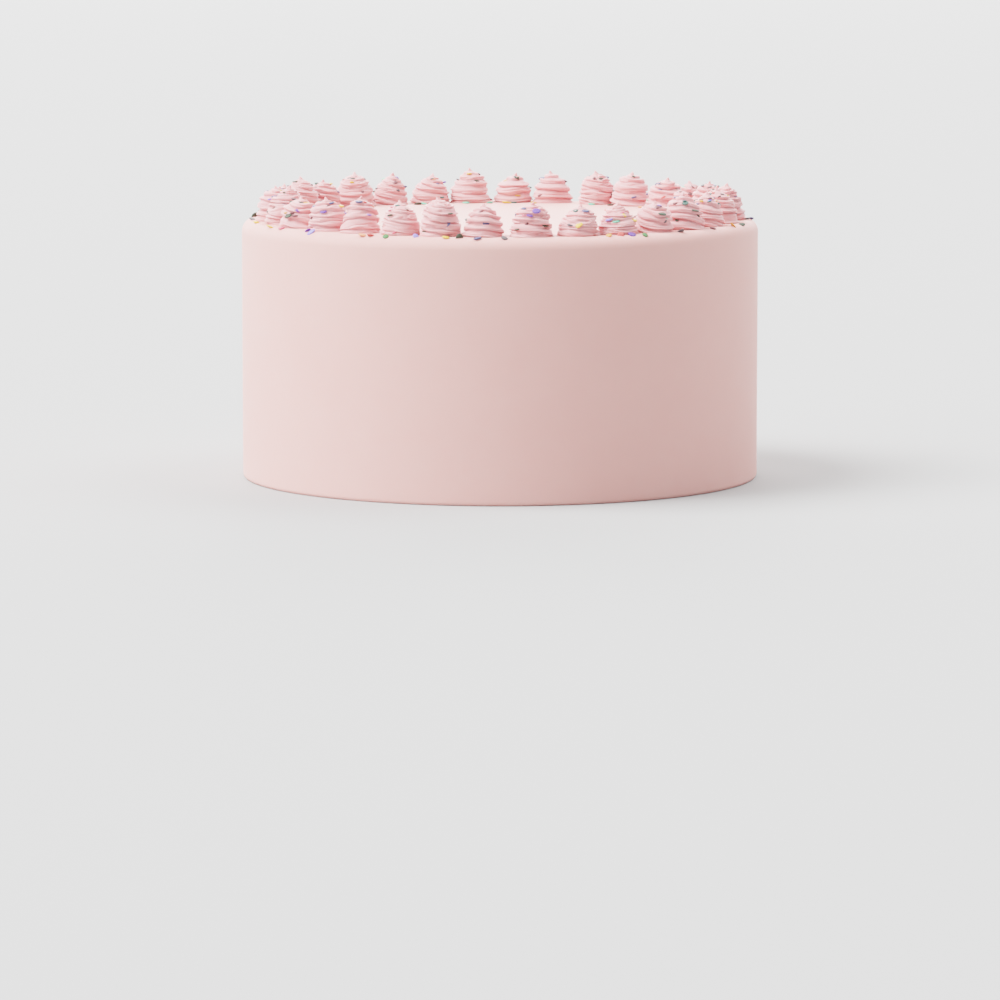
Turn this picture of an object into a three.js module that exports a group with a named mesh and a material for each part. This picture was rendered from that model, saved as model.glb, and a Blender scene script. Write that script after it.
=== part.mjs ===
// An uncut round celebration cake: smooth frosting with a ring of piped swirls round its top edge.
// Millimetres, +Z up, -Y to the front. The origin is the centre of the flat underside.
import * as THREE from "three";

// The frosted cake.
const CAKE_RADIUS = 108;
const CAKE_HEIGHT = 108;
const TOP_EDGE_RADIUS = 5;
const BASE_EDGE_RADIUS = 1.5;
const EDGE_STEPS = 4;
const CAKE_SEGMENTS = 72;

// The ring of swirls. Angles run from the front towards +X.
const SWIRL_COUNT = 32;
const RING_RADIUS = 94;
const RING_PHASE_DEG = -3.3;
const RING_JITTER_DEG = 0.9;
const RADIAL_JITTER = 0.5;
const REST_GAP = 0.3;
const NEIGHBOUR_GAP = 0.3;

// One swirl: a rope of frosting wound up a beehive outline and drawn off to a point.
const SWIRL_RADIUS_MIN = 7.9;
const SWIRL_RADIUS_MAX = 8.9;
const SWIRL_HEIGHT_MIN = 12.2;
const SWIRL_HEIGHT_MAX = 16.2;
const SWIRL_TURNS = 4;
const STEPS_PER_TURN = 12;
const FIRST_CREST_HEIGHT = 0.6;
const TIP_LENGTH = 1.9;
const CREASE_DEPTH = 0.9;
const FOOT_SHARE = 0.94;
const LEAN_MAX = 1.3;

// The beehive outline: a straight taper, times a shoulder that closes over the top.
const OUTLINE_TAPER = 0.36;
const SHOULDER_SHARPNESS = 7;
const SHOULDER_FULLNESS = 0.85;

// Which of the kinds of unevenness a number is drawn for, and where the draws start.
const UNEVEN = { angle: 1, ring: 2, radius: 3, height: 4, start: 5, leanTowards: 6, lean: 7 };
const UNEVEN_SEED = 7341;

const frosting = new THREE.MeshStandardMaterial({ color: 0xe6cac5, roughness: 0.6, metalness: 0 });
const piping = new THREE.MeshStandardMaterial({ color: 0xeab9b4, roughness: 0.5, metalness: 0 });

// A repeatable number from 0 to 1 for one swirl and one kind of unevenness.
function uneven(index, kind) {
  const wave = Math.sin((index + 1) * 12.9898 + (kind + UNEVEN_SEED) * 78.233) * 43758.5453;
  return wave - Math.floor(wave);
}

// The same, spread evenly between two limits.
function between(low, high, index, kind) {
  return THREE.MathUtils.lerp(low, high, uneven(index, kind));
}

// The points of a quarter round from one angle to the other, about a centre in the profile plane.
function quarterRound(centreX, centreY, radius, fromAngle) {
  const points = [];
  for (let step = 0; step <= EDGE_STEPS; step += 1) {
    const angle = fromAngle + (step / EDGE_STEPS) * (Math.PI / 2);
    points.push(new THREE.Vector2(centreX + radius * Math.cos(angle), centreY + radius * Math.sin(angle)));
  }
  return points;
}

// The cake, turned from a profile that starts and ends on the axis.
function cakeGeometry() {
  const profile = [
    new THREE.Vector2(0, 0),
    ...quarterRound(CAKE_RADIUS - BASE_EDGE_RADIUS, BASE_EDGE_RADIUS, BASE_EDGE_RADIUS, -Math.PI / 2),
    ...quarterRound(CAKE_RADIUS - TOP_EDGE_RADIUS, CAKE_HEIGHT - TOP_EDGE_RADIUS, TOP_EDGE_RADIUS, 0),
    new THREE.Vector2(0, CAKE_HEIGHT),
  ];
  return new THREE.LatheGeometry(profile, CAKE_SEGMENTS).rotateX(Math.PI / 2);
}

// How wide a swirl is at a share of its height, as a share of its widest radius.
function outline(share) {
  const shoulder = (1 - share ** SHOULDER_SHARPNESS) ** SHOULDER_FULLNESS;
  return (1 - OUTLINE_TAPER * share) * shoulder;
}

// One swirl as a closed solid on its own origin: the rope's crest climbs clockwise, seen from above,
// with a crease between each turn and the next, a flat foot, and a point at the top.
function swirlGeometry({ radius, height, startAngle, leanTowards, lean }) {
  const steps = STEPS_PER_TURN * SWIRL_TURNS;
  const climb = height - TIP_LENGTH - FIRST_CREST_HEIGHT;
  const positions = [];
  const triangles = [];

  function addPoint(angle, pointRadius, z) {
    const shift = lean * (z / height) ** 2;
    positions.push(
      shift * Math.cos(leanTowards) + pointRadius * Math.cos(angle),
      shift * Math.sin(leanTowards) + pointRadius * Math.sin(angle),
      z,
    );
    return positions.length / 3 - 1;
  }

  function addTriangle(a, b, c) {
    triangles.push(a, b, c);
  }

  function addQuad(a, b, c, d) {
    addTriangle(a, b, c);
    addTriangle(a, c, d);
  }

  function angleAt(step) {
    return startAngle - (step / STEPS_PER_TURN) * 2 * Math.PI;
  }

  function heightAt(step) {
    return FIRST_CREST_HEIGHT + (climb * step) / steps;
  }

  const footCentre = addPoint(0, 0, 0);
  const apex = addPoint(0, 0, height);
  const foot = [];
  for (let step = 0; step < STEPS_PER_TURN; step += 1) {
    foot.push(addPoint(angleAt(step), FOOT_SHARE * radius, 0));
  }
  foot.push(foot[0]);
  const crest = [];
  for (let step = 0; step <= steps; step += 1) {
    const z = heightAt(step);
    crest.push(addPoint(angleAt(step), radius * outline(z / height), z));
  }
  const crease = [];
  for (let step = 0; step <= steps - STEPS_PER_TURN; step += 1) {
    const z = heightAt(step + STEPS_PER_TURN / 2);
    crease.push(addPoint(angleAt(step), radius * outline(z / height) - CREASE_DEPTH, z));
  }

  for (let step = 0; step < STEPS_PER_TURN; step += 1) {
    addTriangle(footCentre, foot[step], foot[step + 1]);
    addQuad(crest[step], crest[step + 1], foot[step + 1], foot[step]);
  }
  addQuad(foot[0], crest[STEPS_PER_TURN], crease[0], crest[0]);
  const lastTurn = steps - STEPS_PER_TURN;
  for (let step = 0; step < lastTurn; step += 1) {
    const above = step + STEPS_PER_TURN;
    addQuad(crease[step], crease[step + 1], crest[step + 1], crest[step]);
    addQuad(crest[above], crest[above + 1], crease[step + 1], crease[step]);
  }
  for (let step = lastTurn; step < steps; step += 1) {
    addTriangle(crest[step + 1], crest[step], apex);
  }
  addTriangle(crest[lastTurn], crease[lastTurn], apex);
  addTriangle(crease[lastTurn], crest[steps], apex);

  const geometry = new THREE.BufferGeometry();
  geometry.setAttribute("position", new THREE.Float32BufferAttribute(positions, 3));
  geometry.setIndex(triangles);
  geometry.computeVertexNormals();
  return geometry;
}

// Where each swirl stands on the ring, as an angle and a distance from the cake's axis.
function swirlPlaces() {
  const places = [];
  for (let index = 0; index < SWIRL_COUNT; index += 1) {
    const even = RING_PHASE_DEG + (360 * index) / SWIRL_COUNT;
    const degrees = even + between(-RING_JITTER_DEG, RING_JITTER_DEG, index, UNEVEN.angle);
    const angle = THREE.MathUtils.degToRad(degrees);
    const distance = RING_RADIUS + between(-RADIAL_JITTER, RADIAL_JITTER, index, UNEVEN.ring);
    places.push(new THREE.Vector2(distance * Math.sin(angle), -distance * Math.cos(angle)));
  }
  return places;
}

// The widest that a swirl can be without touching either neighbour.
function roomAt(places, index) {
  const before = places[(index + SWIRL_COUNT - 1) % SWIRL_COUNT];
  const after = places[(index + 1) % SWIRL_COUNT];
  const nearest = Math.min(places[index].distanceTo(before), places[index].distanceTo(after));
  return (nearest - NEIGHBOUR_GAP) / 2;
}

const cake = new THREE.Group();

const frostedCake = new THREE.Mesh(cakeGeometry(), frosting);
frostedCake.name = "cake";
cake.add(frostedCake);

const ring = new THREE.Group();
ring.position.z = CAKE_HEIGHT + REST_GAP;
cake.add(ring);

const places = swirlPlaces();
places.forEach((place, index) => {
  const wanted = between(SWIRL_RADIUS_MIN, SWIRL_RADIUS_MAX, index, UNEVEN.radius);
  const tallness = uneven(index, UNEVEN.height) ** 2;
  const geometry = swirlGeometry({
    radius: Math.min(wanted, roomAt(places, index)),
    height: THREE.MathUtils.lerp(SWIRL_HEIGHT_MIN, SWIRL_HEIGHT_MAX, tallness),
    startAngle: between(0, 2 * Math.PI, index, UNEVEN.start),
    leanTowards: between(0, 2 * Math.PI, index, UNEVEN.leanTowards),
    lean: between(0, LEAN_MAX, index, UNEVEN.lean),
  });
  const swirl = new THREE.Mesh(geometry, piping);
  swirl.name = `swirl_${String(index + 1).padStart(2, "0")}`;
  swirl.position.set(place.x, place.y, 0);
  ring.add(swirl);
});

export default cake;
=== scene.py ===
"""An uncut birthday cake: smooth pink frosting, a ring of piped swirls and confetti sprinkles.

Lengths are in metres, with MM to write them in millimetres. +Z is up and -Y is the front. A bearing is an
angle round the cake's axis, from the front towards +X.
"""

import logging
import math
from collections.abc import Iterable, Sequence
from dataclasses import dataclass, field
from enum import Enum

import bpy
import numpy as np
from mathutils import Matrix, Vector


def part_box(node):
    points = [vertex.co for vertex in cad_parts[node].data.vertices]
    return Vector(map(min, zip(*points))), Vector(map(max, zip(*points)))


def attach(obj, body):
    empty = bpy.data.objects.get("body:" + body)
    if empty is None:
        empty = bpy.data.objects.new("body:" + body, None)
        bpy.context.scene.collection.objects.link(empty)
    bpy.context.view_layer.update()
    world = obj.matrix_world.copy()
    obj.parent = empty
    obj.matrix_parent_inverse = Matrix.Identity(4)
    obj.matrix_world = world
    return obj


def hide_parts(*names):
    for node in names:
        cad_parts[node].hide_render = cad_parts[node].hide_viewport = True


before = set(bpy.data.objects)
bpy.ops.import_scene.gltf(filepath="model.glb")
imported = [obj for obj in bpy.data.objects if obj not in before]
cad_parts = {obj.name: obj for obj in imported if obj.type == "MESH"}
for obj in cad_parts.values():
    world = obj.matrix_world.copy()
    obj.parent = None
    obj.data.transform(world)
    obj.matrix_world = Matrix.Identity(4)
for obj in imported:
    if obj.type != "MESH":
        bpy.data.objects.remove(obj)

MM = 0.001
TINY = 1e-12
FULL_TURN = 2 * math.pi
BODY = "root"
LOG = logging.getLogger("cake")

Array = np.ndarray
Colour = tuple[float, float, float]

UP = np.array([0.0, 0.0, 1.0])
SIDEWAYS = np.array([1.0, 0.0, 0.0])
# How much of a direction may point up or down for its cross product with UP to be of use.
MOST_UPRIGHT = 0.9


# --- Small sums that several parts use ------------------------------------------------------------------


def round_angles(count: int) -> Array:
    """Give evenly spaced angles once round, from 0."""
    return np.linspace(0, FULL_TURN, count, endpoint=False)


def unit(vectors: Array) -> Array:
    """Scale a vector, or each vector of an array, to length 1, and leave one of no length as it is."""
    return vectors / (np.linalg.norm(vectors, axis=-1, keepdims=True) + TINY)


@dataclass(frozen=True)
class Spread:
    """The two limits that an uneven value is drawn between."""

    low: float
    high: float

    def draw(self, rng: np.random.Generator) -> float:
        """Draw a value, any between the limits as likely as another."""
        return rng.uniform(self.low, self.high)


class Ripple:
    """A smooth uneven height over an angle and a second coordinate.

    The height is a sum of cosines. Each has a whole number of waves to a turn, a pace of its own along
    the second coordinate, and a random phase, and the later ones are smaller. At an angle pace of 1 the
    height joins up once round.
    """

    FALLOFF = 0.7

    def __init__(
        self,
        rng: np.random.Generator,
        waves: int,
        strength: float,
        angle_pace: float = 1,
        along_pace: float = 1,
    ) -> None:
        """Draw the cosines.

        Args:
            rng: Where the random numbers come from.
            waves: How many cosines are summed, from one wave to a turn upwards.
            strength: The height's usual size.
            angle_pace: What the angle is multiplied by.
            along_pace: What the second coordinate is multiplied by.
        """
        self.phases = rng.uniform(0, FULL_TURN, waves)
        self.slopes = rng.uniform(-1, 1, waves) * along_pace
        self.sizes = rng.normal(0, 1, waves) / np.arange(1, waves + 1) ** self.FALLOFF
        self.strength = strength / math.sqrt(waves)
        self.angle_pace = angle_pace

    def __call__(self, angle: Array, along: Array) -> Array:
        """Give the heights.

        Args:
            angle: Angles in radians.
            along: Second coordinates, of a shape that goes with the angles'.

        Returns:
            The height at each.
        """
        total = np.zeros(np.broadcast(angle, along).shape)
        for number, (size, slope, phase) in enumerate(zip(self.sizes, self.slopes, self.phases), start=1):
            total += size * np.cos(number * (self.angle_pace * angle + slope * along) + phase)
        return self.strength * total


# --- Colours and shader graphs --------------------------------------------------------------------------


def linear(code: str) -> Colour:
    """Turn a display colour into the linear one that shaders and lights use, by the sRGB curve.

    Args:
        code: Six hexadecimal digits, red first.

    Returns:
        Red, green and blue as linear shares of one.
    """
    shares = (int(code[start:start + 2], 16) / 255 for start in (0, 2, 4))
    red, green, blue = (s / 12.92 if s <= 0.04045 else ((s + 0.055) / 1.055) ** 2.4 for s in shares)
    return red, green, blue


class Value:
    """A number that varies over a surface: a socket whose arithmetic adds Math nodes."""

    def __init__(self, graph: "Graph", socket: bpy.types.NodeSocket) -> None:
        """Keep the graph that new nodes go to, and the socket that gives the number."""
        self.graph = graph
        self.socket = socket

    def _math(self, operation: str, first: "Value | float", second: "Value | float") -> "Value":
        """Add one Math node and give its result."""
        node = self.graph.node("ShaderNodeMath", {"operation": operation}, {0: first, 1: second})
        return Value(self.graph, node.outputs[0])

    def __add__(self, other: "Value | float") -> "Value":
        """Give this plus the other."""
        return self._math("ADD", self, other)

    def __radd__(self, other: float) -> "Value":
        """Give the other plus this."""
        return self._math("ADD", other, self)

    def __sub__(self, other: "Value | float") -> "Value":
        """Give this minus the other."""
        return self._math("SUBTRACT", self, other)

    def __rsub__(self, other: float) -> "Value":
        """Give the other minus this."""
        return self._math("SUBTRACT", other, self)

    def __mul__(self, other: "Value | float") -> "Value":
        """Give this times the other."""
        return self._math("MULTIPLY", self, other)

    def __rmul__(self, other: float) -> "Value":
        """Give the other times this."""
        return self._math("MULTIPLY", other, self)


class Graph:
    """The node graph of one material, with its output and the object's own coordinates."""

    # The colour sockets of a Mix node go by number, because its number sockets have the same names.
    MIX_FIRST = 6
    MIX_SECOND = 7
    MIX_RESULT = 2

    NOISE_MIDDLE = 0.5

    def __init__(self, name: str) -> None:
        """Start a material with an output and no shader yet.

        Args:
            name: The material's name.
        """
        self.material = bpy.data.materials.new(name)
        self.material.use_nodes = True
        self.nodes = self.material.node_tree.nodes
        self.links = self.material.node_tree.links
        self.nodes.clear()
        self.output = self.node("ShaderNodeOutputMaterial")
        self.place = self.node("ShaderNodeTexCoord").outputs["Object"]

    def node(
        self,
        kind: str,
        settings: dict[str, object] | None = None,
        inputs: dict[str | int, object] | None = None,
    ) -> bpy.types.Node:
        """Add a node, set it up, and feed it.

        Args:
            kind: The node's type name.
            settings: Values of the node's own properties, set first.
            inputs: For each socket's name or number, a plain value, a socket or a Value to link.

        Returns:
            The new node.
        """
        node = self.nodes.new(kind)
        for name, value in (settings or {}).items():
            setattr(node, name, value)
        for name, value in (inputs or {}).items():
            source = value.socket if isinstance(value, Value) else value
            if isinstance(source, bpy.types.NodeSocket):
                self.links.new(source, node.inputs[name])
            else:
                node.inputs[name].default_value = source
        return node

    def noise(self, scale: float, detail: float, flatness: float = 1) -> Value:
        """Add fractal noise on the object's coordinates.

        Args:
            scale: Waves to the metre.
            detail: How many finer octaves it has.
            flatness: How many times denser it is along Z, which draws it out into level streaks.

        Returns:
            The noise, from 0 to 1 about a middle of 0.5.
        """
        place = self.node("ShaderNodeMapping", None, {"Vector": self.place, "Scale": (1, 1, flatness)})
        node = self.node(
            "ShaderNodeTexNoise",
            None,
            {"Vector": place.outputs[0], "Scale": scale, "Detail": detail},
        )
        return Value(self, node.outputs["Fac"])

    def uneven(self, noise: Value, middle: float, spread: float) -> Value:
        """Turn noise into a value about a middle, whose whole spread is as given."""
        return (noise - self.NOISE_MIDDLE) * spread + middle

    def attribute(self, name: str) -> Value:
        """Give a number that the mesh holds at each point."""
        return Value(self, self.node("ShaderNodeAttribute", {"attribute_name": name}).outputs["Fac"])

    def mix(
        self, share: Value, first: Colour | bpy.types.NodeSocket, second: Colour
    ) -> bpy.types.NodeSocket:
        """Blend two colours.

        Args:
            share: 0 for the first colour and 1 for the second.
            first: A linear colour, or the socket of one.
            second: A linear colour.

        Returns:
            The socket of the blended colour.
        """
        under = first if isinstance(first, bpy.types.NodeSocket) else (*first, 1)
        node = self.node(
            "ShaderNodeMix",
            {"data_type": "RGBA"},
            {"Factor": share, self.MIX_FIRST: under, self.MIX_SECOND: (*second, 1)},
        )
        return node.outputs[self.MIX_RESULT]

    def bump(self, height: Value, depth: float) -> bpy.types.NodeSocket:
        """Roughen the surface's normal by a height from 0 to 1 that stands for a depth in metres."""
        node = self.node("ShaderNodeBump", None, {"Strength": 1.0, "Distance": depth, "Height": height})
        return node.outputs[0]

    def finish(self, inputs: dict[str | int, object]) -> bpy.types.Material:
        """Add the Principled shader.

        Args:
            inputs: What each of its sockets is fed, as for a node.

        Returns:
            The finished material.
        """
        shader = self.node("ShaderNodeBsdfPrincipled", None, inputs)
        self.links.new(shader.outputs[0], self.output.inputs["Surface"])
        return self.material


# --- Finishes -------------------------------------------------------------------------------------------

# What a frosted mesh holds at each point, 0 to 1: how much deeper painted tint it takes, painted shade in
# the swirls' creases and grooves and painted pink bounce light at the cake's top.
PAINTED_TINT = "richness"


@dataclass(frozen=True)
class Buttercream:
    """Whipped pink frosting: soft satin, a little see-through, faintly mottled.

    The light that it scatters inside reaches furthest in red, so thin ridges and creases glow a deeper pink.
    The colour goes from pale to deep by slow mottling, and takes up to a set share of a deeper painted tint
    where
    the mesh says so: painted shade in the swirls' creases and grooves, and painted pink bounce light at the
    cake's top.
    """

    name: str
    pale: str
    deep: str
    painted_tint: str
    most_painted_tint: float
    roughness: float
    scatter_share: float
    scatter_depth: float
    relief: float
    streaks: float
    blotch_scale: float = 26
    fleck_scale: float = 160
    fleck_share: float = 0.25
    grain_scale: float = 900
    streak_scale: float = 14
    streak_flatness: float = 34
    roughness_spread: float = 0.16
    scatter_reach: Colour = (1.0, 0.5, 0.44)
    ior: float = 1.18

    def material(self) -> bpy.types.Material:
        """Make the material, whose relief is fine grain plus faint streaks that run level.

        Returns:
            The finished material.
        """
        graph = Graph(self.name)
        blotches = graph.noise(self.blotch_scale, detail=3)
        flecks = graph.noise(self.fleck_scale, detail=2)
        mottle = blotches + (flecks - blotches) * self.fleck_share
        body = graph.mix(mottle, linear(self.pale), linear(self.deep))
        # Painted shade in the creases and grooves, and painted pink bounce light at the cake's top, as a
        # share of the deeper tint.
        richness = graph.attribute(PAINTED_TINT) * self.most_painted_tint
        grain = graph.noise(self.grain_scale, detail=3)
        streak = graph.noise(self.streak_scale, detail=4, flatness=self.streak_flatness)
        height = grain + (streak - grain) * self.streaks
        return graph.finish(
            {
                "Base Color": graph.mix(richness, body, linear(self.painted_tint)),
                "Roughness": graph.uneven(grain, self.roughness, self.roughness_spread),
                "Normal": graph.bump(height, self.relief),
                "IOR": self.ior,
                "Subsurface Weight": self.scatter_share,
                "Subsurface Radius": self.scatter_reach,
                "Subsurface Scale": self.scatter_depth,
            }
        )


@dataclass(frozen=True)
class SugarShell:
    """The dull hard finish of a confetti sprinkle, faintly cloudy with powdered sugar."""

    name: str
    tint: str
    sugar_share: float = 0.08
    sugar_white: float = 0.8
    cloud_scale: float = 700
    roughness: float = 0.5
    roughness_spread: float = 0.2
    relief: float = 0.05 * MM
    scatter_share: float = 0.15
    scatter_reach: Colour = (1.0, 1.0, 1.0)
    scatter_depth: float = 0.4 * MM
    ior: float = 1.35

    def material(self) -> bpy.types.Material:
        """Make the material.

        Returns:
            The finished material.
        """
        graph = Graph(self.name)
        red, green, blue = linear(self.tint)
        powder = self.sugar_share * self.sugar_white
        clean_share = 1 - self.sugar_share
        dusty = (clean_share * red + powder, clean_share * green + powder, clean_share * blue + powder)
        cloud = graph.noise(self.cloud_scale, detail=3)
        return graph.finish(
            {
                "Base Color": graph.mix(cloud, (red, green, blue), dusty),
                "Roughness": graph.uneven(cloud, self.roughness, self.roughness_spread),
                "Normal": graph.bump(cloud, self.relief),
                "IOR": self.ior,
                "Subsurface Weight": self.scatter_share,
                "Subsurface Radius": self.scatter_reach,
                "Subsurface Scale": self.scatter_depth,
            }
        )


@dataclass(frozen=True)
class StudioPaper:
    """The plain pale floor."""

    name: str = "studio_paper"
    tint: str = "A4A4A4"
    roughness: float = 0.9
    ior: float = 1.2

    def material(self) -> bpy.types.Material:
        """Make the material."""
        inputs = {"Base Color": (*linear(self.tint), 1), "Roughness": self.roughness, "IOR": self.ior}
        return Graph(self.name).finish(inputs)


SMOOTH_FROSTING = Buttercream(
    name="smooth_frosting",
    pale="E8ACA5",
    deep="E1A29B",
    # The deeper tint here is painted pink bounce light at the cake's top.
    painted_tint="DA6C73",
    most_painted_tint=0.12,
    roughness=0.62,
    scatter_share=0.35,
    scatter_depth=2.5 * MM,
    relief=0.02 * MM,
    streaks=0.5,
)
PIPED_FROSTING = Buttercream(
    name="piped_frosting",
    pale="EAA5A5",
    deep="E59D9F",
    painted_tint="B87478",
    # The deeper tint here is painted shade in the swirls' creases and grooves.
    most_painted_tint=0.2,
    roughness=0.55,
    scatter_share=0.5,
    scatter_depth=1.2 * MM,
    relief=0.03 * MM,
    streaks=0.2,
)


class Confetti(Enum):
    """The sprinkles' colours, with each one's display colour."""

    TEAL = "5AB592"
    DEEP_TEAL = "2A5248"
    GREEN = "2F6A2A"
    DARK_GREEN = "26361F"
    PURPLE = "56329A"
    LAVENDER = "7F78D6"
    SLATE = "3E416A"
    YELLOW = "EBA93E"
    AMBER = "D98435"
    PEACH = "F08A62"
    CORAL = "E04C44"
    DARK_RED = "5E1E24"
    PINK = "EE6878"
    GREY = "4C4042"


ALL_CONFETTI = tuple(Confetti)
DARK_CONFETTI = (Confetti.DEEP_TEAL, Confetti.DARK_GREEN, Confetti.SLATE, Confetti.GREY, Confetti.DARK_RED)


# --- Shells: closed meshes worked out as whole arrays ----------------------------------------------------


@dataclass
class Shell:
    """A closed surface as arrays: points, faces of four and three corners, and numbers held at points."""

    points: Array
    quads: Array
    triangles: Array
    values: dict[str, Array] = field(default_factory=dict)

    @staticmethod
    def from_grid(grid: Array, foot: Array, top: Array, values: dict[str, Array] | None = None) -> "Shell":
        """Close a grid of points that goes round an axis into a shell.

        Args:
            grid: Points by row, going up, by column, going anticlockwise seen from above, by X, Y and Z.
            foot: The point that closes the lowest row.
            top: The point that closes the highest row.
            values: Numbers held at each grid point. The two closing points take the mean of their rows.

        Returns:
            The closed shell, with its faces outwards.
        """
        rows, columns, _ = grid.shape
        numbers = np.arange(rows * columns).reshape(rows, columns)
        right = np.roll(numbers, -1, axis=1)
        quads = np.stack([numbers[:-1], right[:-1], right[1:], numbers[1:]], axis=-1).reshape(-1, 4)
        foot_number, top_number = rows * columns, rows * columns + 1
        under = np.stack([np.full(columns, foot_number), right[0], numbers[0]], axis=-1)
        over = np.stack([np.full(columns, top_number), numbers[-1], right[-1]], axis=-1)
        held = {
            name: np.concatenate([array.ravel(), [array[0].mean(), array[-1].mean()]])
            for name, array in (values or {}).items()
        }
        return Shell(np.vstack([grid.reshape(-1, 3), foot, top]), quads, np.vstack([under, over]), held)

    @staticmethod
    def joined(shells: Sequence["Shell"]) -> "Shell":
        """Put several shells that hold no numbers into one.

        Args:
            shells: The shells, which may lie anywhere.

        Returns:
            The one shell of them all.
        """
        starts = np.cumsum([0] + [len(shell.points) for shell in shells[:-1]])
        return Shell(
            np.vstack([shell.points for shell in shells]),
            np.vstack([shell.quads + start for shell, start in zip(shells, starts)]),
            np.vstack([shell.triangles + start for shell, start in zip(shells, starts)]),
        )

    def to_object(
        self, name: str, material: bpy.types.Material, smooth: bool = True
    ) -> bpy.types.Object:
        """Make the shell a Blender object at the origin.

        Args:
            name: The object's name.
            material: Its only material.
            smooth: Whether it is shaded smooth, and not flat.

        Returns:
            The object, linked to the scene.
        """
        mesh = bpy.data.meshes.new(name)
        mesh.vertices.add(len(self.points))
        mesh.vertices.foreach_set("co", self.points.astype(np.float32).ravel())
        corners = np.concatenate([self.quads.ravel(), self.triangles.ravel()]).astype(np.int32)
        mesh.loops.add(len(corners))
        mesh.loops.foreach_set("vertex_index", corners)
        sizes = np.concatenate([np.full(len(self.quads), 4), np.full(len(self.triangles), 3)])
        mesh.polygons.add(len(sizes))
        mesh.polygons.foreach_set("loop_start", (np.cumsum(sizes) - sizes).astype(np.int32))
        mesh.update(calc_edges=True)
        mesh.polygons.foreach_set("use_smooth", np.full(len(sizes), smooth))
        for key, array in self.values.items():
            mesh.attributes.new(key, "FLOAT", "POINT").data.foreach_set("value", array.astype(np.float32))
        mesh.materials.append(material)
        mesh.validate()
        made = bpy.data.objects.new(name, mesh)
        bpy.context.scene.collection.objects.link(made)
        return made


# --- The frosted cake -----------------------------------------------------------------------------------


@dataclass
class FrostedCake:
    """The cake under its smooth coat: a straight side, a soft top edge, and a flat top.

    Its radius and height come from its node's box, and the shares are of that height. Steepest is the
    sine of the steepest slope of the top edge that anything lies on.
    """

    node: str = "cake"
    top_edge: float = 5 * MM
    base_edge: float = 1.5 * MM
    unevenness: float = 0.09 * MM
    even_foot_share: float = 0.125
    lid_share: float = 0.9
    painted_light_from_share: float = 0.96
    steepest: float = 0.97
    columns: int = 384
    side_rows: int = 44
    edge_rows: int = 14
    disc_rows: int = 18
    seed: int = 3
    radius: float = field(init=False)
    height: float = field(init=False)

    def __post_init__(self) -> None:
        """Read the cake's size from its node's box."""
        low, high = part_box(self.node)
        self.radius = (high.x - low.x) / 2
        self.height = high.z

    def profile(self) -> tuple[Array, Array]:
        """Give the outline in the plane of the axis, from under the foot, up the side and in over the top.

        Returns:
            The distances from the axis and the heights.
        """
        foot = self.radius - self.base_edge
        rim = self.radius - self.top_edge
        side_low, side_high = self.base_edge, self.height - self.top_edge
        low_turn = np.linspace(-math.pi / 2, 0, self.edge_rows)
        high_turn = np.linspace(0, math.pi / 2, self.edge_rows)
        distances = np.concatenate(
            [
                [foot / 2],
                foot + self.base_edge * np.cos(low_turn),
                np.full(self.side_rows, self.radius),
                rim + self.top_edge * np.cos(high_turn),
                np.linspace(rim, 0, self.disc_rows + 2)[1:-1],
            ]
        )
        heights = np.concatenate(
            [
                [0],
                side_low + self.base_edge * np.sin(low_turn),
                np.linspace(side_low, side_high, self.side_rows + 2)[1:-1],
                side_high + self.top_edge * np.sin(high_turn),
                np.full(self.disc_rows, self.height),
            ]
        )
        return distances, heights

    def resting_place(self, distance: float, bearing: float) -> tuple[Array, Array]:
        """Find a point on the top, or on the rounding of its edge, and the way that the cake faces there.

        Args:
            distance: How far from the axis.
            bearing: The angle round the axis, in radians.

        Returns:
            The point and the unit normal.
        """
        past_rim = max(distance - (self.radius - self.top_edge), 0)
        turn = math.asin(min(past_rim / self.top_edge, self.steepest))
        outward = np.array([math.sin(bearing), -math.cos(bearing), 0])
        point = outward * distance + UP * (self.height - self.top_edge * (1 - math.cos(turn)))
        return point, outward * math.sin(turn) + UP * math.cos(turn)

    def build(self) -> bpy.types.Object:
        """Turn the profile round the axis, with the coat a shade uneven.

        A point at angle a is the profile's distance and height, turned by a. Outside half the radius,
        the distance grows by a slow ripple over angle and height, which fades out at the foot. The
        height of the top grows by another, which fades out at the axis. From just below the flat top,
        the frosting takes painted pink bounce light: a share of a deeper pink that stands for light bounced
        off the swirls.

        Returns:
            The cake as one object.
        """
        rng = np.random.default_rng(self.seed)
        coat = Ripple(rng, waves=7, strength=self.unevenness, along_pace=3)
        lid = Ripple(rng, waves=6, strength=self.unevenness, along_pace=4)
        angle = round_angles(self.columns)[None, :]
        distances, heights = (array[:, None] for array in self.profile())
        up_share, out_share = heights / self.height, distances / self.radius
        settled = np.minimum(up_share / self.even_foot_share, 1) * (out_share > 1 / 2)
        swell = distances + coat(angle, up_share) * settled
        lift = heights + lid(angle, out_share) * (up_share > self.lid_share) * out_share
        grid = np.stack([swell * np.cos(angle), swell * np.sin(angle), lift], axis=-1)
        # Painted pink bounce light, ramping in over the rounding of the top edge and full on the flat top.
        painted_tint = np.clip((up_share - self.painted_light_from_share) / (1 - self.painted_light_from_share), 0, 1)
        richness = {PAINTED_TINT: np.broadcast_to(painted_tint, grid.shape[:2])}
        shell = Shell.from_grid(grid, np.zeros(3), UP * self.height, richness)
        return shell.to_object("frosted_cake", SMOOTH_FROSTING.material())

    def dress(self, made: bpy.types.Object) -> None:
        """Stand the object in for the cake's node, on its body.

        Args:
            made: The frosted cake.
        """
        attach(made, BODY)
        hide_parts(self.node)


# --- The piped swirls -----------------------------------------------------------------------------------


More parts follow.
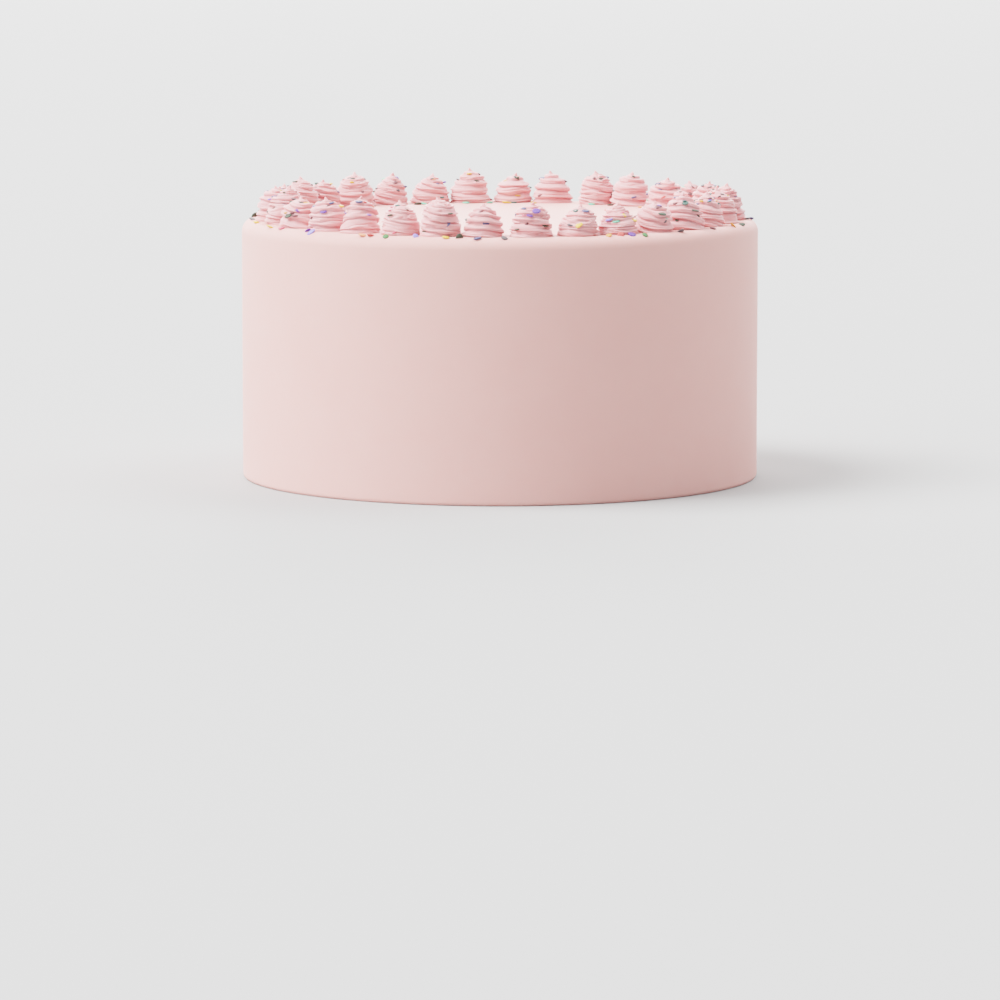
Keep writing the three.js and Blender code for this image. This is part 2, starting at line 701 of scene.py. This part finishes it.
@dataclass
class Skin:
    """A swirl's skin by row, upwards, and column, round it: its points, and the way it faces at each."""

    points: Array
    faces: Array

    @staticmethod
    def over(points: Array) -> "Skin":
        """Work out the way the skin faces as the cross product of its two grid directions.

        Args:
            points: The skin's points by row and column.

        Returns:
            The skin.
        """
        climb = np.gradient(points, axis=0)
        level = np.roll(points, -1, axis=1) - np.roll(points, 1, axis=1)
        return Skin(points, unit(np.cross(level, climb)))


@dataclass
class PipedSwirl:
    """One swirl: a ridged rope of frosting wound up a beehive and drawn off to a hooked point.

    Seen from above, the rope winds clockwise as it climbs. Its place and size come from its node's box,
    grown by swell and let into the cake by sink. What differs from swirl to swirl is drawn within its
    spread.
    """

    node: str
    seed: int
    sink: float = 0.7 * MM
    swell: float = 1.11
    columns: int = 112
    rows: int = 112
    outline_steps: int = 500

    # The beehive outline. The dome's gap to the top is a share of the tip's height.
    taper: float = 0.28
    fullness: float = 0.76
    dome_gap: float = 0.6
    tip_height: float = 2.1 * MM
    tip_radius: float = 1.5 * MM
    tip_fullness: float = 0.8
    flare_height: float = 1.3 * MM
    undercut_height: float = 0.9 * MM
    hook: float = 1.0 * MM
    hook_sharpness: float = 9

    # The rope. Its inset is the share of its depth that lies inside the outline.
    pitch: float = 3.3 * MM
    rope_depth: float = 1.4 * MM
    inset: float = 0.8
    skew: float = 0.6
    overhang: float = 0.5 * MM
    least_strength: float = 0.2
    most_strength: float = 1.9
    full_radius: float = 4.5 * MM
    rooted_height: float = 1 * MM

    # The grooves that the piping tip leaves between its ridges.
    grooves: float = 2
    groove_depth: float = 0.8 * MM
    groove_power: float = 0.6
    groove_strength: float = 0.7
    most_groove: float = 1.5
    groove_in_crease: float = 0.3
    twist: float = 0.21
    wander_pace: float = 0.07

    # How fast the painted shade in the creases thins out across the rope, and how much painted shade the
    # grooves take.
    painted_shade_sharpness: float = 3
    groove_painted_shade: float = 0.15

    # What differs from swirl to swirl.
    lean_spread: Spread = Spread(0.3 * MM, 1.4 * MM)
    pitch_spread: Spread = Spread(0.88, 1.15)
    taper_spread: Spread = Spread(0.8, 1.2)
    shoulder_spread: Spread = Spread(4.5, 9)
    flare_spread: Spread = Spread(0, 0.6 * MM)
    undercut_spread: Spread = Spread(0.6 * MM, 1.8 * MM)
    slant_spread: Spread = Spread(0.1, 0.55)
    depth_spread: Spread = Spread(0.65, 1.35)

    base: Array = field(init=False)
    radius: float = field(init=False)
    height: float = field(init=False)
    lean: Array = field(init=False)
    start: float = field(init=False)
    shoulder: float = field(init=False)
    flare: float = field(init=False)
    undercut: float = field(init=False)
    slant: float = field(init=False)
    slant_towards: float = field(init=False)
    sway: Ripple = field(init=False)
    surge: Ripple = field(init=False)
    tiers: Ripple = field(init=False)
    lumps: Ripple = field(init=False)
    thick: Ripple = field(init=False)
    wander: Ripple = field(init=False)
    fade: Ripple = field(init=False)

    def __post_init__(self) -> None:
        """Read the place and size from the node's box, and draw what differs from swirl to swirl."""
        low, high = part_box(self.node)
        self.base = np.array([(low.x + high.x) / 2, (low.y + high.y) / 2, low.z - self.sink])
        self.radius = (high.x - low.x + high.y - low.y) / 4 * self.swell
        self.height = high.z - low.z + self.sink
        rng = np.random.default_rng(self.seed)
        towards = rng.uniform(0, FULL_TURN)
        self.lean = self.lean_spread.draw(rng) * np.array([math.cos(towards), math.sin(towards)])
        self.start = rng.uniform(0, FULL_TURN)
        self.pitch *= self.pitch_spread.draw(rng)
        self.taper *= self.taper_spread.draw(rng)
        self.shoulder = self.shoulder_spread.draw(rng)
        self.flare = self.flare_spread.draw(rng)
        self.undercut = self.undercut_spread.draw(rng)
        self.slant = self.slant_spread.draw(rng)
        self.slant_towards = rng.uniform(0, FULL_TURN)
        self.sway = Ripple(rng, waves=5, strength=0.28, along_pace=3)
        self.surge = Ripple(rng, waves=2, strength=0.25, angle_pace=0, along_pace=5)
        self.tiers = Ripple(rng, waves=4, strength=0.4 * MM, along_pace=9)
        self.lumps = Ripple(rng, waves=9, strength=0.16 * MM, along_pace=30)
        self.thick = Ripple(rng, waves=5, strength=0.55, angle_pace=0.31, along_pace=0.11)
        self.wander = Ripple(rng, waves=5, strength=0.45, angle_pace=0.2)
        self.fade = Ripple(rng, waves=5, strength=0.6, angle_pace=0.25, along_pace=0.13)
        self.rope_depth *= self.depth_spread.draw(rng)

    def outline(self, level: Array) -> Array:
        """Give the beehive's radius at a share of the height.

        The dome is a taper times a shoulder, and it closes below the top. The tip is a narrow rounded
        cone that goes all the way up. The two are blended by the cube root of the sum of their cubes. A
        flare widens the foot, which tucks in again where it meets the cake. Both die away with height as
        a bell curve.

        Args:
            level: Heights as shares of the whole, from 0 to 1.

        Returns:
            The radii.
        """
        peak = self.tip_height / self.height
        share = np.clip(level / (1 - self.dome_gap * peak), 0, 1)
        dome = self.radius * (1 - self.taper * share) * (1 - share ** self.shoulder) ** self.fullness
        tip = self.tip_radius * np.clip((1 - level) / peak, 0, 1) ** self.tip_fullness
        above = level * self.height
        flare = self.flare * np.exp(-((above / self.flare_height) ** 2))
        tuck = self.undercut * np.exp(-((above / self.undercut_height) ** 2))
        return (dome ** 3 + tip ** 3) ** (1 / 3) + flare - tuck

    def skeleton(self) -> tuple[Array, Array, Array, Array]:
        """Cut the outline into rows at even steps along its own length.

        Returns:
            For each row, as columns: how far along the outline it is, its level, and the outward and the
            upward share of the way that the outline faces there.
        """
        levels = np.linspace(0, 1, self.outline_steps)
        radii, heights = self.outline(levels), levels * self.height
        along = np.concatenate([[0], np.cumsum(np.hypot(np.diff(radii), np.diff(heights)))])
        spots = np.linspace(0, along[-1], self.rows + 1)[:-1]
        level = np.interp(spots, along, levels)
        out = np.interp(spots, along, np.gradient(heights, along))
        up = np.interp(spots, along, -np.gradient(radii, along))
        return spots[:, None], level[:, None], out[:, None], up[:, None]

    def winding(self, spots: Array, angle: Array) -> tuple[Array, Array]:
        """Find where on the rope each point of the skin lies.

        The rope's phase counts turns: the distance along the outline in pitches, plus the angle's share
        of a turn, plus ripples that let each turn dip and rise, plus one wave round that slants them
        all.

        Args:
            spots: Distances along the outline, as one column.
            angle: Angles round the swirl's own axis, as one row.

        Returns:
            How far across its turn of the rope each point is, from 0 at the lower crease to 1 at the
            upper one, and its angle along the rope, in radians.
        """
        climb = spots / self.pitch
        phase = climb + (angle + self.start) / FULL_TURN
        phase = phase + self.sway(angle, climb) + self.surge(angle, climb)
        phase = phase + self.slant * np.cos(angle - self.slant_towards)
        turn = np.floor(phase)
        return phase - turn, FULL_TURN * turn - angle

    def groove(self, across: Array, along: Array) -> Array:
        """Work out how deep each point lies in a groove between two ridges.

        A groove is one less a root of a sine's size, so it is narrow and sharp. The sine runs across the
        rope and shifts a little with each turn, and the grooves wander and fade along it.

        Args:
            across: How far across its turn of the rope each point is.
            along: Its angle along the rope.

        Returns:
            The depth, 0 on a ridge and about 1 in a groove.
        """
        drift = self.grooves * across + self.twist * along / FULL_TURN
        drift = drift + self.wander(along, self.wander_pace * along + across)
        groove = 1 - np.abs(np.sin(math.pi * drift)) ** self.groove_power
        return groove * np.clip(self.groove_strength + self.fade(along, along), 0, self.most_groove)

    def surface(self, angle: Array) -> tuple[Array, Array]:
        """Work out the swirl's skin.

        Within a turn of the rope the skin bulges as a sine to a power, skewed so that it is fullest low
        down, and hangs a little over the turn below. Bulge and grooves move the skin along the way that
        the outline faces, and shrink towards the tip. Slow tiers and quicker lumps make the radius
        uneven. Last, the swirl leans by the square of the height, and its tip hooks over by a higher
        power.

        Args:
            angle: Angles round the swirl's own axis, as one row.

        Returns:
            The points, and how much painted shade the frosting takes at each, from 0 to 1, most in the
            creases.
        """
        spots, level, out_share, up_share = self.skeleton()
        across, along = self.winding(spots, angle)
        groove = self.groove(across, along)
        hull = self.outline(level)
        slim = np.clip(hull / self.full_radius, 0, 1)
        strength = np.clip(1 + self.thick(along, along), self.least_strength, self.most_strength)
        bulge = np.sin(math.pi * across ** self.skew)
        hollow = self.rope_depth * strength * (self.inset - bulge)
        cut = self.groove_depth * groove * (self.groove_in_crease + (1 - self.groove_in_crease) * bulge)
        push = -(hollow + cut) * slim
        uneven = (self.tiers(angle, level) + self.lumps(angle, level)) * slim
        out = hull + push * out_share + uneven
        sag = self.overhang * strength * slim * bulge * out_share
        rooted = np.clip(level * self.height / self.rooted_height, 0, 1)
        rise = np.maximum(level * self.height + (push * up_share - sag) * rooted, 0)
        bend, curl = level ** 2, self.hook * level ** self.hook_sharpness
        points = np.stack(
            [
                self.base[0] + self.lean[0] * bend + curl * math.cos(self.start) + out * np.cos(angle),
                self.base[1] + self.lean[1] * bend + curl * math.sin(self.start) + out * np.sin(angle),
                self.base[2] + rise,
            ],
            axis=-1,
        )
        # Painted shade, deepest in the creases between turns of the rope and a little in the grooves, fading
        # where the swirl thins to its tip.
        crease_painted_shade = (1 - bulge) ** self.painted_shade_sharpness
        return points, np.clip(crease_painted_shade + self.groove_painted_shade * groove ** 2, 0, 1) * slim

    def build(self, material: bpy.types.Material) -> tuple[bpy.types.Object, Skin]:
        """Make the swirl's object.

        Args:
            material: The piped frosting.

        Returns:
            The object, and the skin that sprinkles can lie on.
        """
        grid, richness = self.surface(round_angles(self.columns)[None, :])
        top = grid[-1].mean(axis=0)
        top[2] = self.base[2] + self.height
        shell = Shell.from_grid(grid, self.base, top, {PAINTED_TINT: richness})
        return shell.to_object(f"piped_{self.node}", material), Skin.over(grid)

    def dress(self, made: bpy.types.Object) -> None:
        """Stand the object in for the swirl's node, on its body.

        Args:
            made: The piped swirl.
        """
        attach(made, BODY)
        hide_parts(self.node)


@dataclass
class SwirlRing:
    """All the swirls round the cake's top edge, with the skins that sprinkles can lie on."""

    prefix: str = "swirl_"
    seed: int = 100
    skins: dict[str, Skin] = field(default_factory=dict)

    def names(self) -> list[str]:
        """Give the swirls' nodes in order round the ring."""
        return sorted(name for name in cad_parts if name.startswith(self.prefix))

    def build(self) -> list[bpy.types.Object]:
        """Build and dress each swirl, and keep its skin.

        Returns:
            The swirls' objects.
        """
        material = PIPED_FROSTING.material()
        pieces = []
        for number, name in enumerate(self.names()):
            swirl = PipedSwirl(name, self.seed + number)
            made, self.skins[name] = swirl.build(material)
            swirl.dress(made)
            pieces.append(made)
        return pieces


# --- The sprinkles --------------------------------------------------------------------------------------

# Swirl number, how far up its outline, degrees round it from its front towards +X, and colour.
ON_SWIRLS = (
    (2, 0.52, -8, Confetti.PURPLE),
    (2, 0.62, 15, Confetti.PURPLE),
    (2, 0.3, 50, Confetti.DARK_GREEN),
    (2, 0.74, -60, Confetti.SLATE),
    (3, 0.76, -35, Confetti.DEEP_TEAL),
    (3, 0.74, 40, Confetti.SLATE),
    (3, 0.33, 0, Confetti.YELLOW),
    (4, 0.42, -35, Confetti.LAVENDER),
    (4, 0.4, -5, Confetti.TEAL),
    (4, 0.4, 70, Confetti.YELLOW),
    (5, 0.5, 30, Confetti.DARK_GREEN),
    (5, 0.72, 20, Confetti.DARK_RED),
    (6, 0.66, 10, Confetti.DEEP_TEAL),
    (6, 0.45, 40, Confetti.DARK_GREEN),
    (30, 0.78, -10, Confetti.SLATE),
    (29, 0.5, -15, Confetti.PURPLE),
    (29, 0.62, 70, Confetti.YELLOW),
    (29, 0.42, 85, Confetti.LAVENDER),
    (28, 0.34, -40, Confetti.DARK_GREEN),
    (28, 0.36, -15, Confetti.DARK_RED),
    (28, 0.8, 0, Confetti.DARK_GREEN),
    (28, 0.74, 45, Confetti.AMBER),
)
# Bearing round the cake in degrees, and colour.
AT_OUTER_FEET = (
    (-85, Confetti.GREY),
    (-76, Confetti.YELLOW),
    (-64, Confetti.YELLOW),
    (-59, Confetti.PINK),
    (-49, Confetti.PURPLE),
    (-47, Confetti.LAVENDER),
    (-32, Confetti.PEACH),
    (-30, Confetti.CORAL),
    (-26, Confetti.GREEN),
    (-19, Confetti.LAVENDER),
    (-12, Confetti.YELLOW),
    (-9, Confetti.DARK_GREEN),
    (-5, Confetti.SLATE),
    (1, Confetti.GREY),
    (25, Confetti.AMBER),
    (28, Confetti.CORAL),
    (31, Confetti.PURPLE),
    (34, Confetti.GREEN),
    (45, Confetti.GREY),
    (57, Confetti.DARK_RED),
    (67, Confetti.AMBER),
    (72, Confetti.DARK_GREEN),
)
AT_INNER_FEET = (
    (134, Confetti.PEACH),
    (146, Confetti.DARK_GREEN),
    (152, Confetti.TEAL),
    (170, Confetti.AMBER),
    (176, Confetti.DEEP_TEAL),
    (178, Confetti.YELLOW),
    (183, Confetti.TEAL),
    (190, Confetti.TEAL),
    (203, Confetti.TEAL),
    (205, Confetti.DARK_GREEN),
)


@dataclass(frozen=True)
class Resting:
    """How sprinkles lie where they land.

    The tilt is how far one may be tipped, as a share of the way that it faces. The lift is how far its
    middle stands off the frosting, as a share of its thickness. On a swirl it also sinks in by the sunk
    depth, and it faces up plus the follow share of the way that the swirl faces.
    """

    tilt: float
    lift: float = 0.45
    follow: float = 0
    sunk: float = 0


@dataclass(frozen=True)
class Drift:
    """Sprinkles dropped in a curved line on the cake, between two bearings in degrees.

    Each strays by the scatter, in degrees. The offset is how far outside the cake's side they lie, and is
    negative, because they lie inside it.
    """

    first: float
    last: float
    count: int
    scatter: float
    offset: Spread
    resting: Resting


@dataclass
class Sprinkles:
    """Confetti: flat rounded discs, on the swirls and beside them, joined into one piece a colour."""

    cake: FrostedCake
    ring: SwirlRing
    thickness: float = 0.65 * MM
    radius_spread: Spread = Spread(1.25 * MM, 1.8 * MM)
    corners: int = 10
    rim_width: float = 0.78
    rim_height: float = 0.22
    most_oval: float = 0.22
    most_lump: float = 0.07
    dark_share: float = 0.55
    seed: int = 7

    # The scattering over the swirls. The bare shares are of a swirl's rows.
    scattered: Resting = Resting(tilt=0.2, lift=0.3, follow=0.3, sunk=0.45 * MM)
    scattered_size: float = 0.85
    shrink_aside: float = 0.25
    front_count: float = 5
    back_count: float = 7
    more_aside: float = 13
    aside_power: float = 3
    count_spread: Spread = Spread(-1, 1)
    facing_bonus: float = 0.15
    height_bonus: float = 0.3
    bare_foot_share: float = 0.125
    bare_tip_share: float = 0.17

    # The ones laid one by one, and the drifts at the feet of the ring.
    laid: Resting = Resting(tilt=0.12, lift=0.4, follow=0.45, sunk=0.225 * MM)
    outer_laid: Resting = Resting(tilt=0.4)
    inner_laid: Resting = Resting(tilt=0.15)
    outer_offset: Spread = Spread(-4.6 * MM, -3 * MM)
    inner_offset: Spread = Spread(-24.3 * MM, -22.7 * MM)
    outer_drift: Drift = Drift(
        first=84, last=266, count=26, scatter=3, offset=Spread(-5.5 * MM, -3 * MM), resting=Resting(0.35)
    )
    inner_drift: Drift = Drift(
        first=-100, last=120, count=14, scatter=5, offset=Spread(-26 * MM, -22.5 * MM), resting=Resting(0.15)
    )

    rng: np.random.Generator = field(init=False)
    shells: dict[Confetti, list[Shell]] = field(default_factory=dict)

    def __post_init__(self) -> None:
        """Start the random numbers."""
        self.rng = np.random.default_rng(self.seed)

    def disc(self, point: Array, normal: Array, spin: float, radius: float) -> Shell:
        """Make one disc, a little oval and lumpy, with a rounded rim.

        The rim's radius is a circle's, plus a wave of two and a wave of three round it. Four rings of
        it, narrow, wide, wide and narrow, go up through the thickness, and a point closes each face.

        Args:
            point: The disc's middle.
            normal: The way that its flat side faces, of length 1.
            spin: Its turn about that normal, in radians.
            radius: Its mean radius.

        Returns:
            The disc's shell.
        """
        helper = UP if abs(normal[2]) < MOST_UPRIGHT else SIDEWAYS
        side = unit(np.cross(helper, normal))
        other = np.cross(normal, side)
        angle = round_angles(self.corners)
        oval, lump = self.rng.uniform(0, self.most_oval), self.rng.uniform(0, self.most_lump)
        rim = radius * (1 + oval * np.cos(2 * angle) + lump * np.cos(3 * angle + spin))
        width = np.array([self.rim_width, 1, 1, self.rim_width])[:, None]
        rise = np.array([-0.5, -self.rim_height, self.rim_height, 0.5])[:, None] * self.thickness
        first = rim * width * np.cos(angle + spin)
        second = rim * width * np.sin(angle + spin)
        grid = point + first[..., None] * side + second[..., None] * other + rise[..., None] * normal
        half = normal * self.thickness / 2
        return Shell.from_grid(grid, point - half, point + half)

    def add(
        self, colour: Confetti, point: Array, normal: Array, resting: Resting, size: float = 1
    ) -> None:
        """Lay one sprinkle on a surface.

        Args:
            colour: Its colour.
            point: Where it touches.
            normal: The way that its flat side faces before it is tipped, of length 1.
            resting: How it lies.
            size: Its radius as a share of the usual one.
        """
        tipped = unit(normal + self.rng.normal(0, resting.tilt, 3))
        radius = self.radius_spread.draw(self.rng) * size
        middle = point + normal * resting.lift * self.thickness
        shell = self.disc(middle, tipped, self.rng.uniform(0, FULL_TURN), radius)
        self.shells.setdefault(colour, []).append(shell)

    def add_to_swirl(
        self, colour: Confetti, skin: Skin, spot: tuple[int, int], resting: Resting, size: float = 1
    ) -> None:
        """Lay one sprinkle on a swirl.

        Args:
            colour: Its colour.
            skin: The swirl's skin.
            spot: The row and column of the point that it lies on.
            resting: How it lies.
            size: Its radius as a share of the usual one.
        """
        face = skin.faces[spot]
        place = skin.points[spot] - face * resting.sunk
        self.add(colour, place, unit(face * resting.follow + UP), resting, size)

    def add_to_cake(self, colour: Confetti, distance: float, bearing: float, resting: Resting) -> None:
        """Lay one sprinkle on the cake, at a distance from its axis and a bearing in degrees."""
        point, normal = self.cake.resting_place(distance, math.radians(bearing))
        self.add(colour, point, normal, resting)

    def pick(self) -> Confetti:
        """Draw a colour, one of the dull dark ones more often than not."""
        choice = DARK_CONFETTI if self.rng.random() < self.dark_share else ALL_CONFETTI
        return choice[self.rng.integers(len(choice))]

    def chances(self, skin: Skin) -> Array:
        """Work out how likely a scattered sprinkle is to land on each point of a swirl.

        It is the more likely the more a point faces up and the higher it is. Foot and tip stay bare.

        Args:
            skin: The swirl's skin.

        Returns:
            The chances in the order of the skin's points, row by row, which come to one in all.
        """
        rows = len(skin.points)
        high_share = np.arange(rows)[:, None] / rows
        chance = np.clip(skin.faces[..., 2] + self.facing_bonus, 0, 1) * (high_share + self.height_bonus)
        chance[:round(rows * self.bare_foot_share)] = 0
        chance[-round(rows * self.bare_tip_share):] = 0
        return (chance / chance.sum()).ravel()

    def scatter_on_swirls(self) -> None:
        """Scatter sprinkles over each swirl.

        The swirls out to the left and the right of the cake carry more and smaller ones than those in front.
        """
        for skin in self.ring.skins.values():
            middle = skin.points.mean(axis=(0, 1))
            aside = abs(middle[0]) / np.hypot(middle[0], middle[1])
            usual = self.front_count if middle[1] < 0 else self.back_count
            more = self.more_aside * aside ** self.aside_power
            count = round(usual + more + self.count_spread.draw(self.rng))
            size = self.scattered_size * (1 - self.shrink_aside * aside)
            chance = self.chances(skin)
            for number in self.rng.choice(chance.size, count, p=chance):
                spot = divmod(int(number), skin.points.shape[1])
                self.add_to_swirl(self.pick(), skin, spot, self.scattered, size)

    def lay_by_hand(self) -> None:
        """Lay the sprinkles that stand out, on the front swirls and at the feet of the ring."""
        for number, share, turn, colour in ON_SWIRLS:
            skin = self.ring.skins[f"{self.ring.prefix}{number:02d}"]
            rows, columns, _ = skin.points.shape
            column = round(columns * (turn - 90) / 360) % columns
            self.add_to_swirl(colour, skin, (int(rows * share), column), self.laid)
        outer = (AT_OUTER_FEET, self.outer_offset, self.outer_laid)
        inner = (AT_INNER_FEET, self.inner_offset, self.inner_laid)
        for places, offset, resting in (outer, inner):
            for bearing, colour in places:
                distance = self.cake.radius + offset.draw(self.rng)
                self.add_to_cake(colour, distance, bearing, resting)

    def drop(self, drift: Drift) -> None:
        """Drop one drift of sprinkles at the feet of the ring.

        Args:
            drift: Where they fall and how they lie.
        """
        for bearing in np.linspace(drift.first, drift.last, drift.count):
            strayed = bearing + self.rng.normal(0, drift.scatter)
            distance = self.cake.radius + drift.offset.draw(self.rng)
            self.add_to_cake(self.pick(), distance, strayed, drift.resting)

    def build(self) -> list[bpy.types.Object]:
        """Lay all the sprinkles, and make and dress one piece for each colour.

        Returns:
            The pieces.
        """
        self.scatter_on_swirls()
        self.lay_by_hand()
        self.drop(self.outer_drift)
        self.drop(self.inner_drift)
        pieces = []
        for colour, shells in self.shells.items():
            name = f"sprinkles_{colour.name.lower()}"
            made = Shell.joined(shells).to_object(name, SugarShell(name, colour.value).material())
            self.dress(made)
            pieces.append(made)
        return pieces

    def dress(self, made: bpy.types.Object) -> None:
        """Put a piece on its body."""
        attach(made, BODY)


# --- The studio -----------------------------------------------------------------------------------------


@dataclass(frozen=True)
class SoftLight:
    """One big square soft light, which never shows itself.

    It hangs at its distance from its aim, at its bearing round it and its elevation above it, in degrees.
    """

    name: str
    bearing: float
    elevation: float
    power: float
    distance: float = 9.0
    size: float = 5.6
    aim: tuple[float, float, float] = (0, 0, 0.06)

    def build(self) -> None:
        """Add the light, turned to its aim."""
        lamp = bpy.data.lights.new(self.name, "AREA")
        lamp.size = self.size
        lamp.energy = self.power
        bearing, elevation = math.radians(self.bearing), math.radians(self.elevation)
        level = math.cos(elevation)
        away = Vector((math.sin(bearing) * level, -math.cos(bearing) * level, math.sin(elevation)))
        made = bpy.data.objects.new(self.name, lamp)
        made.location = Vector(self.aim) + away * self.distance
        made.rotation_euler = (-away).to_track_quat("-Z", "Y").to_euler()
        made.visible_camera = False
        bpy.context.scene.collection.objects.link(made)


@dataclass
class Studio:
    """A plain pale floor, soft lights with the strongest on the left, and the camera in front."""

    floor_radius: float = 40.0
    floor_thickness: float = 0.01
    floor_corners: int = 128
    paper: StudioPaper = StudioPaper()
    camera_distance: float = 2.4077
    camera_height: float = 0.2936
    camera_dip: float = math.radians(7.21)
    lens: float = 207.3
    sensor: float = 36.0
    sight: float = 100.0
    sky: str = "FFFFFF"
    sky_strength: float = 0.58
    display: str = "Filmic"
    lights: tuple[SoftLight, ...] = (
        SoftLight("key", bearing=-85, elevation=55, power=3050),
        SoftLight("low_left", bearing=-55, elevation=15, power=700),
        SoftLight("high_right", bearing=110, elevation=55, power=1000),
        SoftLight("back_left", bearing=-165, elevation=15, power=810),
        SoftLight("back_right", bearing=165, elevation=15, power=770),
        SoftLight("backdrop", bearing=0, elevation=89, power=200, distance=5, size=4, aim=(0, 5.5, 0)),
    )

    def floor(self) -> None:
        """Lay the floor, a thin closed disc whose top is the level that the cake stands on."""
        angle = round_angles(self.floor_corners)
        ring = np.stack([np.cos(angle), np.sin(angle), np.zeros_like(angle)], axis=-1) * self.floor_radius
        drop = -UP * self.floor_thickness
        shell = Shell.from_grid(np.stack([ring + drop, ring]), drop, np.zeros(3))
        made = shell.to_object("floor", self.paper.material(), smooth=False)

    def light(self) -> None:
        """Set the even light all round and the soft lights."""
        world = bpy.data.worlds.new("studio")
        world.use_nodes = True
        background = world.node_tree.nodes["Background"]
        background.inputs["Color"].default_value = (*linear(self.sky), 1)
        background.inputs["Strength"].default_value = self.sky_strength
        bpy.context.scene.world = world
        for soft in self.lights:
            soft.build()

    def camera(self) -> None:
        """Set the camera in front, a little above and looking slightly down."""
        lens = bpy.data.cameras.new("camera")
        lens.lens = self.lens
        lens.sensor_width = self.sensor
        lens.clip_end = self.sight
        made = bpy.data.objects.new("camera", lens)
        made.location = (0, -self.camera_distance, self.camera_height)
        made.rotation_euler = (math.pi / 2 - self.camera_dip, 0, 0)
        bpy.context.scene.collection.objects.link(made)
        bpy.context.scene.camera = made

    def build(self) -> None:
        """Set up the floor, the light, the camera and the display transform."""
        self.floor()
        self.light()
        self.camera()
        bpy.context.scene.view_settings.view_transform = self.display


# --- The whole ------------------------------------------------------------------------------------------


def corners(bounds: tuple[Vector, Vector]) -> list[list[float]]:
    """Give two corners as plain lists."""
    return [list(corner) for corner in bounds]


def report(pieces: Iterable[bpy.types.Object]) -> None:
    """Log each piece and how many faces it has."""
    for piece in pieces:
        LOG.info("%s: %d faces", piece.name, len(piece.data.polygons))


def main() -> None:
    """Build the cake, its swirls, its sprinkles and the studio, and log each piece's faces."""
    logging.basicConfig(level=logging.INFO, format="%(name)s: %(message)s")
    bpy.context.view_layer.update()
    cake = FrostedCake()
    coat = cake.build()
    cake.dress(coat)
    report([coat])
    ring = SwirlRing()
    report(ring.build())
    report(Sprinkles(cake, ring).build())
    Studio().build()


if __name__ == "__main__":
    main()
